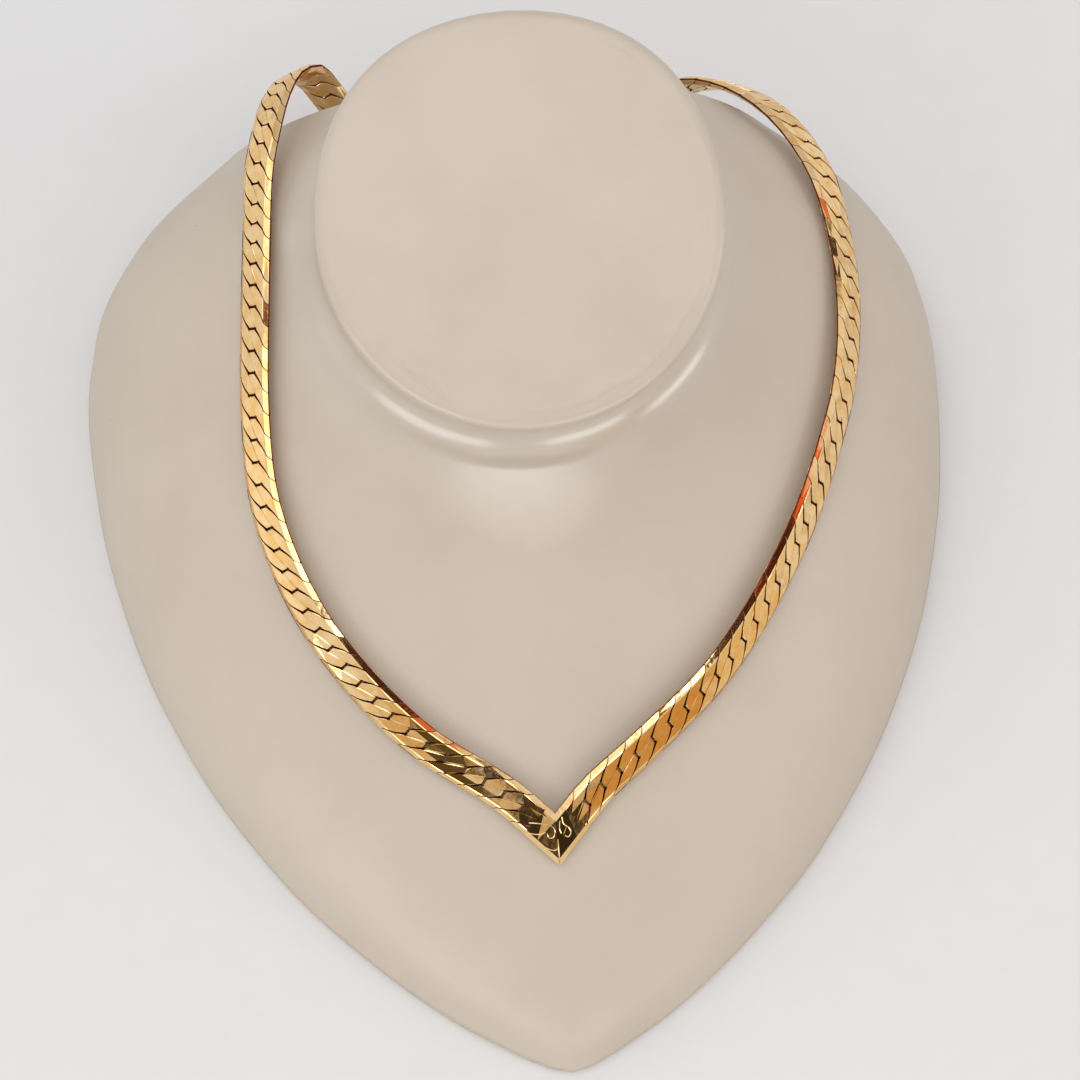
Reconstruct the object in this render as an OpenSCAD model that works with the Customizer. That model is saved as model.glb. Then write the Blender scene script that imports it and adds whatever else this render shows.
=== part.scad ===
// A flat herringbone chain with a pointed centre, laid on a plain low neck form.
// Millimetres, +Z up, the tip of the neck form towards -Y. The origin is on the
// surface that the neck form stands on, under the middle of the whole part.
// The chain is a row of flat rings, each three pitches long. Every ring has four
// slanted lobes, two in the upper layer and two in the lower one, and passes
// through the two rings before it and the two after it.

/* [Chain] */
// Width of the chain
chain_w = 6.5; // [6.2:0.1:6.8]
// Thickness of the chain
chain_t = 1.7; // [1.6:0.05:1.75]
// Distance from one link to the next along the chain
link_pitch = 4.06; // [3.9:0.02:4.2]
// Clear space between neighbouring links
link_gap = 0.29; // [0.27:0.01:0.3]
// Width of the straight end of a link, in the middle of the chain
link_bar = 1.4; // [1.2:0.1:1.6]
// Width of the bevelled edge
bevel_w = 0.8; // [0.7:0.05:1]
// How far the bevelled edge falls below the flat face
bevel_drop = 0.6; // [0.5:0.05:0.6]
// Clear space between the chain and what it lies on
seat_gap = 0.3; // [0.2:0.05:0.4]

/* [Centre and clasp] */
// Length of each solid arm of the centre, from its mitre
centre_arm = 8.4; // [8.2:0.1:9]
// Length of the clasp
clasp_l = 12; // [11:0.5:14]
// How much wider the clasp is than the chain
clasp_extra_w = 0.8; // [0.6:0.1:1.2]
// How much thicker the clasp is than the chain
clasp_extra_t = 0.6; // [0.4:0.1:1]

/* [Neck form] */
// Length of the body from its tip to its rear wall
body_l = 178.5; // [176:0.5:180]
// Width of the body
body_w = 164; // [162:1:166]
// Height of the body under the neck
body_h = 54; // [53:0.5:55]
// Radius of the neck
neck_r = 38.3; // [37.8:0.1:38.8]
// Height of the middle of the neck's top face above the surface it stands on
neck_h = 78; // [76:0.5:80]
// How far the neck's top face leans forward, in degrees
neck_lean = 20; // [18:1:21]
// Height of the curve where the neck meets the body
neck_fillet = 6; // [4:0.5:7]

/* [Hidden] */

gold = "#d9a441";
cream = "#d6cab8";

// Distance from the tip of the body to the middle of the part's length
middle_from_tip = 95.8;
rear_y = body_l - middle_from_tip;

// Sections across the body, from its tip to its rear wall:
// share of the length, share of the height, share of the half width
sections = [
    [0.000, 0.000, 0.000],
    [0.011, 0.093, 0.073],
    [0.031, 0.157, 0.152],
    [0.059, 0.222, 0.248],
    [0.126, 0.315, 0.423],
    [0.216, 0.426, 0.606],
    [0.356, 0.589, 0.800],
    [0.496, 0.746, 0.921],
    [0.636, 0.885, 0.984],
    [0.748, 0.963, 1.000],
    [0.832, 0.996, 0.977],
    [0.916, 0.974, 0.885],
    [1.000, 0.870, 0.690]
];
height_col = 1;
width_col = 2;

// Where the chain lies on the body, from the centre up the left arm: x, distance from the tip,
// then the angle by which its inner edge lifts off the body, as a stiff flat chain's does
left_seat = [
    [-0.4, 37.8, 8], [-9.4, 46.4, 6], [-23.2, 56.7, 9], [-35.2, 70.7, 11], [-43.3, 85.3, 12],
    [-47.9, 101.7, 13], [-48.4, 118.6, 14], [-47.2, 135.9, 13], [-46.4, 145.6, 12],
    [-45.7, 154.4, 10]
];
// The same down the right arm, to the centre
right_seat = [
    [60.5, 147.7, 3], [60.9, 138.3, 6], [60.2, 128.8, 11], [58.6, 119.6, 15],
    [56, 110.6, 18], [49.2, 93.8, 19], [40.3, 78.3, 20], [29.6, 64.5, 19],
    [16.5, 53.1, 17], [7, 45.6, 13], [-0.4, 37.8, 8]
];
// The free stretch from the left shoulder round the back to the right shoulder:
// x, distance from the tip, height, then the way that the chain's face looks
free_run = [
    [-45.7, 163, 45.1, -0.52, 0.12, 0.84],
    [-44, 170.9, 44.6, -0.46, 0.25, 0.84],
    [-42.1, 178.5, 42, -0.44, 0.42, 0.78],
    [-40, 184.2, 38.5, -0.45, 0.58, 0.66],
    [-38, 187.4, 35, -0.45, 0.7, 0.5],
    [-35.9, 189.4, 31.7, -0.42, 0.84, 0.28],
    [-34.1, 190.1, 27.6, -0.33, 0.94, -0.08],
    [-32.1, 188.9, 23.7, -0.22, 0.88, -0.4],
    [-29.6, 186.5, 20.5, -0.08, 0.86, -0.45],
    [-25.8, 184.4, 17.4, 0.04, 0.95, -0.3],
    [-20.2, 183.2, 13.9, 0.03, 1, -0.12],
    [-13, 182.6, 10.4, 0, 1, 0],
    [-4.5, 183, 7.6, 0, 1, 0],
    [4, 183.8, 6.1, 0, 1, 0],
    [11, 184.4, 5.9, 0, 1, 0],
    [18.5, 185.3, 7.6, 0, 1, 0],
    [26, 186.2, 11.8, 0.05, 1, 0],
    [32.4, 187, 17.2, 0.12, 0.98, 0.05],
    [38, 186.4, 22.6, 0.22, 0.93, 0.2],
    [42.9, 183.8, 27.1, 0.28, 0.84, 0.42],
    [47.7, 179.2, 31.7, 0.32, 0.7, 0.62],
    [52.2, 173.5, 34.9, 0.36, 0.55, 0.75],
    [56.3, 166.4, 36.5, 0.42, 0.38, 0.82],
    [59.6, 157.6, 37.3, 0.52, 0.2, 0.84]
];

// Steps of the curve between two rows of the route
route_steps = 8;
// Extra size of soldered pieces round the links that they hold
solder = 0.06;
half_w = chain_w / 2;
half_t = chain_t / 2;
half_bar = link_bar / 2;

// Vectors and lists
function unit(v) = v / norm(v);
function flip(list) = [for (i = [len(list) - 1 : -1 : 0]) list[i]];

// Smooth curve through a table: the value of one column at a place in the first
function rise(table, i, col) =
    (table[i + 1][col] - table[i][col]) / (table[i + 1][0] - table[i][0]);
function tangent(table, i, col) =
    i == 0 ? 2 * rise(table, 0, col) :
    i == len(table) - 1 ? rise(table, i - 1, col) :
    let (before = rise(table, i - 1, col), after = rise(table, i, col))
    before * after <= 0 ? 0 : 2 * before * after / (before + after);
function row_at(table, at) =
    max([0, for (i = [0 : len(table) - 2]) if (table[i][0] <= at) i]);
function smooth(table, at, col) =
    let (
        i = row_at(table, at),
        span = table[i + 1][0] - table[i][0],
        t = (at - table[i][0]) / span,
        t2 = t * t,
        t3 = t2 * t
    )
    (2 * t3 - 3 * t2 + 1) * table[i][col] + (t3 - 2 * t2 + t) * span * tangent(table, i, col)
    + (3 * t2 - 2 * t3) * table[i + 1][col] + (t3 - t2) * span * tangent(table, i + 1, col);

// Upper surface of the body: half an ellipse across at each place along it
function along(y) = min(1, max(0, (y + middle_from_tip) / body_l));
function ridge(y) = body_h * smooth(sections, along(y), height_col);
function half_width(y) = body_w / 2 * smooth(sections, along(y), width_col);
function body_z(x, y) =
    y > rear_y ? 0 :
    let (q = x / max(half_width(y), 0.01))
    abs(q) >= 1 ? 0 : ridge(y) * sqrt(1 - q * q);
probe = 0.5;
function body_normal(x, y) =
    unit([
        (body_z(x - probe, y) - body_z(x + probe, y)) / (2 * probe),
        (body_z(x, y - probe) - body_z(x, y + probe)) / (2 * probe),
        1
    ]);

// Route of the chain: place and facing, as one row of six numbers
function seat_row(table, i) =
    let (
        x = table[i][0],
        y = table[i][1] - middle_from_tip,
        lean = table[i][2],
        step = table[min(i + 1, len(table) - 1)] - table[max(i - 1, 0)],
        n = body_normal(x, y),
        outward = unit(cross(n, [step[0], step[1], 0])),
        lift = half_t + seat_gap + half_w * sin(lean)
    )
    concat([x, y, body_z(x, y)] + lift * n, cos(lean) * n + sin(lean) * outward);
function free_row(r) = [r[0], r[1] - middle_from_tip, r[2], r[3], r[4], r[5]];
route_rows = concat(
    [for (i = [0 : len(left_seat) - 1]) seat_row(left_seat, i)],
    [for (r = free_run) free_row(r)],
    [for (i = [0 : len(right_seat) - 1]) seat_row(right_seat, i)]
);
function curve(a, b, c, d, t) =
    0.5 * (2 * b + (c - a) * t + (2 * a - 5 * b + 4 * c - d) * t * t
    + (3 * b - a - 3 * c + d) * t * t * t);
function route_row(i) =
    let (last = len(route_rows) - 1)
    i < 0 ? 2 * route_rows[0] - route_rows[1] :
    i > last ? 2 * route_rows[last] - route_rows[last - 1] :
    route_rows[i];
// No point of the route lies lower than its seat on the body
steepest = 0.3;
function seated(r) =
    let (
        floor_z = body_z(r[0], r[1]),
        n = [r[3], r[4], r[5]],
        low = floor_z + (half_t + seat_gap) / max(n[2] / norm(n), steepest)
    )
    floor_z > 0 && r[2] < low ? [r[0], r[1], low, r[3], r[4], r[5]] : r;
route = [
    for (i = [0 : len(route_rows) - 2], k = [0 : route_steps - 1])
        seated(curve(route_row(i - 1), route_row(i), route_row(i + 1), route_row(i + 2),
            k / route_steps)),
    route_rows[len(route_rows) - 1]
];
function place(r) = [r[0], r[1], r[2]];
function facing(r) = [r[3], r[4], r[5]];
function lengths(i, sum) =
    i == len(route) ? [] :
    let (now = i == 0 ? 0 : sum + norm(place(route[i]) - place(route[i - 1])))
    concat([now], lengths(i + 1, now));
reach = lengths(0, 0);
route_l = reach[len(reach) - 1];
reach_table = [for (i = [0 : len(reach) - 1]) [reach[i], i]];
function route_at(s) =
    let (
        f = lookup(s, reach_table),
        i = min(floor(f), len(route) - 2)
    )
    route[i] + (f - i) * (route[i + 1] - route[i]);

// Frame of the chain at a length: place, across, along and facing
frame_step = 1;
function frame_at(s) =
    let (
        t = unit(place(route_at(min(s + frame_step, route_l)))
            - place(route_at(max(s - frame_step, 0)))),
        f = facing(route_at(s)),
        n = unit(f - (f * t) * t)
    )
    [place(route_at(s)), cross(t, n), t, n];

// Links on one arm. The first two and the last two are soldered to the centre and the clasp.
soldered = 2;
arm_start = centre_arm - 0.5 * link_pitch + link_gap / 2;
clasp_start = route_l / 2 - clasp_l / 2 + 0.5 * link_pitch - link_gap / 2;
arm_links = round((clasp_start - arm_start) / link_pitch);
pitch = (clasp_start - arm_start) / arm_links;

// Outline of the upper left lobe, anticlockwise from above, in shares of the pitch
outer_x = half_w + link_gap / 2;
bevel_x = half_w - bevel_w;
bevel_y = 0.15;
lobe = [
    [-half_bar, -1.5], [half_bar, -1.5], [0, -1], [-half_bar, -0.5],
    [-bevel_x, bevel_y], [-outer_x, 0.5], [-outer_x, -0.5], [-bevel_x, bevel_y - 1]
];
side_corners = [5, 6];
inner_corners = [0, 2, 3, 4, 6, 7];
// Outline moved inwards by half the gap between links
function inset(list, d) =
    let (n = len(list))
    [for (i = [0 : n - 1])
        let (
            q = list[i],
            u = unit(q - list[(i + n - 1) % n]),
            v = unit(list[(i + 1) % n] - q),
            nu = [-u[1], u[0]],
            nv = [-v[1], v[0]]
        )
        q + d * (nu + nv) / (1 + nu * nv)
    ];
lobe_plan = inset([for (p = lobe) [p[0], p[1] * pitch]], link_gap / 2);
lobe_top = [for (i = [0 : len(lobe_plan) - 1])
    let (bevelled = len(search(i, side_corners)) > 0)
    [lobe_plan[i][0], lobe_plan[i][1], bevelled ? half_t - bevel_drop : half_t]
];
// Below the crossing the walls of two links pass each other, with this much more room each
crossing = 2;
crossing_room = 0.06;
lobe_inner = [for (i = inner_corners)
    [lobe_plan[i][0], lobe_plan[i][1] - (i == crossing ? crossing_room : 0), link_gap / 2]
];
lobe_points = concat(lobe_top, lobe_inner);

// The four lobes of a link are the upper left one turned about each axis
lobe_turns = [[1, 1, 1], [-1, -1, 1], [1, -1, -1], [-1, 1, -1]];
end_partner = [3, 2, 1, 0];
side_partner = [2, 3, 0, 1];
link_flat = [
    for (turn = lobe_turns, p = lobe_points)
        [p[0] * turn[0], p[1] * turn[1], p[2] * turn[2]]
];

// Faces of a lobe, anticlockwise from outside. Each corner names whose point it is
// (the lobe's own, its partner's at the end, or its partner's at the side) and which point.
own = 0;
at_end = 1;
at_side = 2;
lobe_faces = [
    [[own, 0], [own, 1], [own, 2]],
    [[own, 0], [own, 2], [own, 7]],
    [[own, 2], [own, 3], [own, 7]],
    [[own, 3], [own, 4], [own, 7]],
    [[own, 7], [own, 4], [own, 5], [own, 6]],
    [[own, 8], [own, 13], [own, 9]],
    [[own, 9], [own, 13], [own, 10]],
    [[own, 10], [own, 13], [own, 11]],
    [[own, 11], [own, 13], [own, 12]],
    [[own, 1], [at_end, 8], [at_end, 9], [own, 9], [own, 2]],
    [[own, 9], [own, 10], [own, 3], [own, 2]],
    [[own, 10], [own, 11], [own, 4], [own, 3]],
    [[own, 5], [own, 4], [own, 11], [at_side, 11], [at_side, 12]],
    [[own, 12], [own, 13], [own, 7], [own, 6]],
    [[own, 13], [own, 8], [own, 0], [own, 7]]
];
// Walls that two lobes share, made for the two upper lobes only
shared_faces = [
    [[own, 12], [own, 6], [own, 5], [at_side, 12], [at_side, 6], [at_side, 5]],
    [[own, 8], [at_end, 1], [at_end, 0], [at_end, 8], [own, 1], [own, 0]]
];
function owner(side, l) =
    side == own ? l : side == at_end ? end_partner[l] : side_partner[l];
function corner(c, l) = owner(c[0], l) * len(lobe_points) + c[1];
function fan(face) = [for (i = [1 : len(face) - 2]) [face[0], face[i + 1], face[i]]];
link_faces = [
    for (l = [0 : 3], face = lobe_faces) each fan([for (c = face) corner(c, l)]),
    for (l = [0 : 1], face = shared_faces) each fan([for (c = face) corner(c, l)])
];

// Frames every half pitch along an arm, counted from the centre on both sides
half_reach = 3;
function arm_frame(left, s) =
    let (f = frame_at(left ? s : route_l - s))
    left ? f : [f[0], -f[1], -f[2], f[3]];
function arm_frames(left, from, to) =
    [for (j = [2 * from - half_reach : 2 * to + half_reach])
        arm_frame(left, arm_start + j * pitch / 2)];
// A flat point of a link set on the bent route, between the two nearest frames
function on_frame(p, f) = f[0] + p[0] * f[1] + p[2] * f[3];
function bend(p, frames, base) =
    let (
        g = p[1] / (pitch / 2) + base,
        i = min(max(floor(g), 0), len(frames) - 2)
    )
    (1 - g + i) * on_frame(p, frames[i]) + (g - i) * on_frame(p, frames[i + 1]);
module links(left, from, to) {
    frames = arm_frames(left, from, to);
    corners = [for (k = [from : to], p = link_flat)
        bend(p, frames, 2 * (k - from) + half_reach)];
    sides = [for (k = [0 : to - from], f = link_faces)
        [for (c = f) c + k * len(link_flat)]];
    polyhedron(points = corners, faces = sides, convexity = 10);
}

// Solid bar through sections across the route, against the route's direction
function bar_section(f, more_w, more_t) =
    let (
        w = half_w + more_w,
        t = half_t + more_t,
        low = t - bevel_drop,
        outline = [
            [-w, low], [-bevel_x, t], [bevel_x, t], [w, low],
            [w, -low], [bevel_x, -t], [-bevel_x, -t], [-w, -low]
        ]
    )
    [for (p = outline) f[0] + p[0] * f[1] + p[1] * f[3]];
module bar(parts) {
    n = len(parts[0]);
    last = (len(parts) - 1) * n;
    polyhedron(
        points = [for (part = parts) each part],
        faces = [
            for (j = [0 : len(parts) - 2], i = [0 : n - 1])
                let (
                    a = j * n + i,
                    b = j * n + (i + 1) % n
                )
                each [[a, b, b + n], [a, b + n, a + n]],
            for (i = [1 : n - 2]) [last, last + i, last + i + 1],
            for (i = [1 : n - 2]) [0, i + 1, i]
        ],
        convexity = 4
    );
}

// Chain centre: two solid arms that meet in a mitre, with the first links of both arms
mitre_clear = 3.8;
module v_centre() {
    t_left = unit(place(route_at(frame_step)) - place(route_at(0)));
    t_right = unit(place(route_at(route_l - frame_step)) - place(route_at(route_l)));
    n_mid = unit(facing(route_at(0)) + facing(route_at(route_l)));
    toward = t_left + t_right;
    across = unit(toward - (toward * n_mid) * n_mid);
    spread = sqrt((1 - t_left * t_right) / 2);
    mitre = [place(route_at(0)), across / spread, [0, 0, 0], n_mid];
    arm = [centre_arm, (centre_arm + mitre_clear) / 2, mitre_clear];
    frames = concat(
        [for (s = arm) frame_at(s)],
        [mitre],
        [for (s = flip(arm)) frame_at(route_l - s)]
    );
    color(gold) union() {
        bar([for (f = frames) bar_section(f, solder, solder)]);
        links(true, 0, soldered - 1);
        links(false, 0, soldered - 1);
    }
}

// Clasp: a plain bar at the back of the loop, with the last links of both arms
clasp_taper = 1;
end_size = 0.3;
module clasp() {
    middle = route_l / 2;
    half_l = clasp_l / 2;
    full_l = half_l - clasp_taper;
    // distance from the middle, share of the extra size
    stations = [[half_l, end_size], [full_l, 1], [0, 1], [-full_l, 1], [-half_l, end_size]];
    color(gold) union() {
        bar([for (r = stations)
            bar_section(frame_at(middle + r[0]), r[1] * clasp_extra_w / 2, r[1] * clasp_extra_t / 2)]);
        links(true, arm_links - soldered + 1, arm_links);
        links(false, arm_links - soldered + 1, arm_links);
    }
}

module chain_left() {
    color(gold) links(true, soldered, arm_links - soldered);
}

module chain_right() {
    color(gold) links(false, soldered, arm_links - soldered);
}

// Neck form: rings of points from the middle of the neck's top face out to the edge
side_points = 24;
rear_points = 8;
neck_from_tip = 133.8;
neck_mid = [0, neck_from_tip - middle_from_tip, neck_h];
neck_up = [0, cos(neck_lean), sin(neck_lean)];
neck_out = [0, -sin(neck_lean), cos(neck_lean)];
// share of the neck's radius, depth below its top face
neck_rings = [[0.5, -0.4], [0.85, 0], [0.895, 1.5], [0.92, 5]];
neck_foot = 0.945;
// How much wider the neck is at its back
neck_rear = 0.05;
neck_crown = 0.6;
// share of the fillet's width, share of its height
fillet_rings = [[0, 1], [0.134, 0.5], [0.5, 0.134], [1, 0]];
// share of the way from the neck to the edge
body_rings = [0.2, 0.4, 0.58, 0.74, 0.87, 0.96];
edge_h = 1.5;
rear_round = 3;
fillet_narrow = 0.65;
foot_search = 14;
foot_deep = 60;

function side_edge(j) =
    let (y = -middle_from_tip + body_l * (1 - cos(90 * j / side_points)))
    [half_width(y), y];
side_edges = [for (j = [0 : side_points]) side_edge(j)];
rear_w = side_edges[side_points][0];
edges = concat(
    side_edges,
    [for (i = [1 : rear_points - 1]) [rear_w * cos(180 * i / rear_points), rear_y]],
    flip([for (j = [1 : side_points]) [-side_edges[j][0], side_edges[j][1]]])
);
function edge_height(e) =
    max(edge_h, body_z(e[0], min(e[1], rear_y - probe)) - rear_round);

function behind(way) = pow(max(0, way[1]), 2);
function neck_point(way, r, depth) =
    let (wide = neck_r * r * (1 + neck_rear * behind(way)))
    neck_mid + wide * (way[0] * [1, 0, 0] + way[1] * neck_up) - depth * neck_out;
// The wall goes down along the lean in front and straight down at the back
function wall_way(way) = unit(-neck_out - tan(neck_lean) * behind(way) * neck_up);
function above(p) = p[2] - body_z(p[0], p[1]) - neck_fillet;
function foot(p, g, near, far, left) =
    let (mid = (near + far) / 2)
    left == 0 ? p + mid * g :
    above(p + mid * g) > 0 ? foot(p, g, mid, far, left - 1) : foot(p, g, near, mid, left - 1);
function fillet_width(way) = neck_fillet * (1 - fillet_narrow * behind(way));
function on_body(x, y, more) = [x, y, body_z(x, y) + more];
function body_column(e) =
    let (
        way = unit([e[0], e[1] - neck_mid[1]]),
        rim = neck_point(way, neck_foot, neck_rings[3][1]),
        base = foot(rim, wall_way(way), 0, foot_deep, foot_search),
        w = fillet_width(way),
        start = [base[0] + w * way[0], base[1] + w * way[1]]
    )
    concat(
        [for (r = neck_rings) neck_point(way, r[0], r[1])],
        [for (r = fillet_rings)
            on_body(base[0] + w * r[0] * way[0], base[1] + w * r[0] * way[1], neck_fillet * r[1])],
        [for (f = body_rings)
            on_body(start[0] + f * (e[0] - start[0]), start[1] + f * (e[1] - start[1]), 0)],
        [[e[0], e[1], edge_height(e)], [e[0], e[1], 0]]
    );
module bust() {
    columns = [for (e = edges) body_column(e)];
    n = len(columns);
    m = len(columns[0]);
    top_point = n * m;
    color(cream) polyhedron(
        points = concat([for (c = columns) each c], [neck_point([0, 0], 0, -neck_crown)]),
        faces = [
            for (j = [0 : n - 1]) [top_point, ((j + 1) % n) * m, j * m],
            for (j = [0 : n - 1], i = [0 : m - 2])
                let (
                    a = j * m + i,
                    b = ((j + 1) % n) * m + i
                )
                each [[a, b, b + 1], [a, b + 1, a + 1]],
            for (j = [1 : n - 2]) [m - 1, j * m + m - 1, (j + 1) * m + m - 1]
        ],
        convexity = 6
    );
}

bust();
v_centre();
clasp();
chain_left();
chain_right();
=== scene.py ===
import math
import random
import bpy
import bmesh
from mathutils import Matrix, Vector


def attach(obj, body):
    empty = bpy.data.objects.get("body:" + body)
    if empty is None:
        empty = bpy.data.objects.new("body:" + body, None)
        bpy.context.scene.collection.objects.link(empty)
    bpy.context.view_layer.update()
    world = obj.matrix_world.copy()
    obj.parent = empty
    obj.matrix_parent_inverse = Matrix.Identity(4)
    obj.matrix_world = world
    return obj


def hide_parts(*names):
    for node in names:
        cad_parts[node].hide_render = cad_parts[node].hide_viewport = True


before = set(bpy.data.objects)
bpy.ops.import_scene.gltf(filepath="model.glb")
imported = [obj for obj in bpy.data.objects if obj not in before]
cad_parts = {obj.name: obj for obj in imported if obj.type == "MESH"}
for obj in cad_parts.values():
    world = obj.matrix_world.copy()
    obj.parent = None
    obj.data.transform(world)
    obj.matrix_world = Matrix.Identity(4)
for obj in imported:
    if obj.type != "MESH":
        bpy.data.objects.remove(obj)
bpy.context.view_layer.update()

mm = 0.001
scene = bpy.context.scene
scene.view_settings.view_transform = "Standard"
print("frame loaded")


def deselectAll():
    bpy.ops.object.select_all(action="DESELECT")
    bpy.context.view_layer.objects.active = None


def makeActive(obj):
    deselectAll()
    obj.select_set(True)
    bpy.context.view_layer.objects.active = obj


def applyModifier(obj, kind, **settings):
    makeActive(obj)
    modifier = obj.modifiers.new(kind.title(), kind)
    for key, value in settings.items():
        setattr(modifier, key, value)
    bpy.ops.object.modifier_apply(modifier=modifier.name)


def joinAll(objects, name):
    deselectAll()
    for obj in objects:
        obj.select_set(True)
    bpy.context.view_layer.objects.active = objects[0]
    if len(objects) > 1:
        bpy.ops.object.join()
    piece = bpy.context.view_layer.objects.active
    piece.name = piece.data.name = name
    return piece


def copyOf(obj, name):
    twin = obj.copy()
    twin.data = obj.data.copy()
    twin.name = twin.data.name = name
    bpy.context.collection.objects.link(twin)
    return twin


# route of the chain: the same rows as in the part's source, in millimetres
route = {
    "middleFromTip": 95.8, "bodyLength": 178.5, "bodyWidth": 164, "bodyHeight": 54,
    "halfWidth": 3.25, "halfThick": 0.85, "seatGap": 0.3, "steps": 8, "steepest": 0.3,
    # share of the body's length, share of its height, share of its half width
    "sections": [
        (0, 0, 0), (0.011, 0.093, 0.073), (0.031, 0.157, 0.152), (0.059, 0.222, 0.248),
        (0.126, 0.315, 0.423), (0.216, 0.426, 0.606), (0.356, 0.589, 0.8),
        (0.496, 0.746, 0.921), (0.636, 0.885, 0.984), (0.748, 0.963, 1),
        (0.832, 0.996, 0.977), (0.916, 0.974, 0.885), (1, 0.87, 0.69)],
    # x, distance from the tip, lean of the chain off the body in degrees
    "leftSeat": [
        (-0.4, 37.8, 8), (-9.4, 46.4, 6), (-23.2, 56.7, 9), (-35.2, 70.7, 11), (-43.3, 85.3, 12),
        (-47.9, 101.7, 13), (-48.4, 118.6, 14), (-47.2, 135.9, 13), (-46.4, 145.6, 12),
        (-45.7, 154.4, 10)],
    # x, distance from the tip, height, then the way that the chain's face looks
    "freeRun": [
        (-45.7, 163, 45.1, -0.52, 0.12, 0.84), (-44, 170.9, 44.6, -0.46, 0.25, 0.84),
        (-42.1, 178.5, 42, -0.44, 0.42, 0.78), (-40, 184.2, 38.5, -0.45, 0.58, 0.66),
        (-38, 187.4, 35, -0.45, 0.7, 0.5), (-35.9, 189.4, 31.7, -0.42, 0.84, 0.28),
        (-34.1, 190.1, 27.6, -0.33, 0.94, -0.08), (-32.1, 188.9, 23.7, -0.22, 0.88, -0.4),
        (-29.6, 186.5, 20.5, -0.08, 0.86, -0.45), (-25.8, 184.4, 17.4, 0.04, 0.95, -0.3),
        (-20.2, 183.2, 13.9, 0.03, 1, -0.12), (-13, 182.6, 10.4, 0, 1, 0),
        (-4.5, 183, 7.6, 0, 1, 0), (4, 183.8, 6.1, 0, 1, 0),
        (11, 184.4, 5.9, 0, 1, 0), (18.5, 185.3, 7.6, 0, 1, 0),
        (26, 186.2, 11.8, 0.05, 1, 0), (32.4, 187, 17.2, 0.12, 0.98, 0.05),
        (38, 186.4, 22.6, 0.22, 0.93, 0.2), (42.9, 183.8, 27.1, 0.28, 0.84, 0.42),
        (47.7, 179.2, 31.7, 0.32, 0.7, 0.62), (52.2, 173.5, 34.9, 0.36, 0.55, 0.75),
        (56.3, 166.4, 36.5, 0.42, 0.38, 0.82), (59.6, 157.6, 37.3, 0.52, 0.2, 0.84)],
    "rightSeat": [
        (60.5, 147.7, 3), (60.9, 138.3, 6), (60.2, 128.8, 11), (58.6, 119.6, 15),
        (56, 110.6, 18), (49.2, 93.8, 19), (40.3, 78.3, 20), (29.6, 64.5, 19),
        (16.5, 53.1, 17), (7, 45.6, 13), (-0.4, 37.8, 8)],
}


def smoothAt(at, column):
    rows = route["sections"]
    i = max(k for k in range(len(rows) - 1) if rows[k][0] <= at or k == 0)

    def rise(k):
        return (rows[k + 1][column] - rows[k][column]) / (rows[k + 1][0] - rows[k][0])

    def slope(k):
        if k == 0:
            return 2 * rise(0)
        if k == len(rows) - 1:
            return rise(k - 1)
        before, after = rise(k - 1), rise(k)
        return 0 if before * after <= 0 else 2 * before * after / (before + after)

    span = rows[i + 1][0] - rows[i][0]
    t = (at - rows[i][0]) / span
    return ((2 * t**3 - 3 * t**2 + 1) * rows[i][column] + (t**3 - 2 * t**2 + t) * span * slope(i)
            + (3 * t**2 - 2 * t**3) * rows[i + 1][column] + (t**3 - t**2) * span * slope(i + 1))


def bodyHeightAt(x, y):
    share = (y + route["middleFromTip"]) / route["bodyLength"]
    if share > 1:
        return 0
    share = max(0, share)
    q = x / max(route["bodyWidth"] / 2 * smoothAt(share, 2), 0.01)
    return 0 if abs(q) >= 1 else route["bodyHeight"] * smoothAt(share, 1) * math.sqrt(1 - q * q)


def bodyNormalAt(x, y, probe=0.5):
    return Vector((
        (bodyHeightAt(x - probe, y) - bodyHeightAt(x + probe, y)) / (2 * probe),
        (bodyHeightAt(x, y - probe) - bodyHeightAt(x, y + probe)) / (2 * probe), 1)).normalized()


def seatRows(table):
    rows = []
    for i, (x, fromTip, lean) in enumerate(table):
        y = fromTip - route["middleFromTip"]
        before, after = table[max(i - 1, 0)], table[min(i + 1, len(table) - 1)]
        normal = bodyNormalAt(x, y)
        outward = normal.cross(Vector((after[0] - before[0], after[1] - before[1], 0))).normalized()
        tilt = math.radians(lean)
        lift = route["halfThick"] + route["seatGap"] + route["halfWidth"] * math.sin(tilt)
        place = Vector((x, y, bodyHeightAt(x, y))) + lift * normal
        rows.append((place, math.cos(tilt) * normal + math.sin(tilt) * outward))
    return rows


def routePoints():
    rows = seatRows(route["leftSeat"])
    rows += [(Vector((r[0], r[1] - route["middleFromTip"], r[2])), Vector(r[3:])) for r in route["freeRun"]]
    rows += seatRows(route["rightSeat"])
    first = tuple(2 * rows[0][k] - rows[1][k] for k in (0, 1))
    last = tuple(2 * rows[-1][k] - rows[-2][k] for k in (0, 1))
    rows = [first] + rows + [last]
    points = []
    for i in range(1, len(rows) - 2):
        for k in range(route["steps"]):
            t = k / route["steps"]
            place, facing = [
                0.5 * (2 * rows[i][c] + (rows[i + 1][c] - rows[i - 1][c]) * t
                       + (2 * rows[i - 1][c] - 5 * rows[i][c] + 4 * rows[i + 1][c] - rows[i + 2][c]) * t * t
                       + (3 * rows[i][c] - rows[i - 1][c] - 3 * rows[i + 1][c] + rows[i + 2][c]) * t**3)
                for c in (0, 1)]
            floorZ = bodyHeightAt(place.x, place.y)
            low = floorZ + (route["halfThick"] + route["seatGap"]) / max(
                facing.z / facing.length, route["steepest"])
            if floorZ > 0 and place.z < low:
                place.z = low
            points.append((place, facing))
    points.append(rows[-2])
    return points


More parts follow.
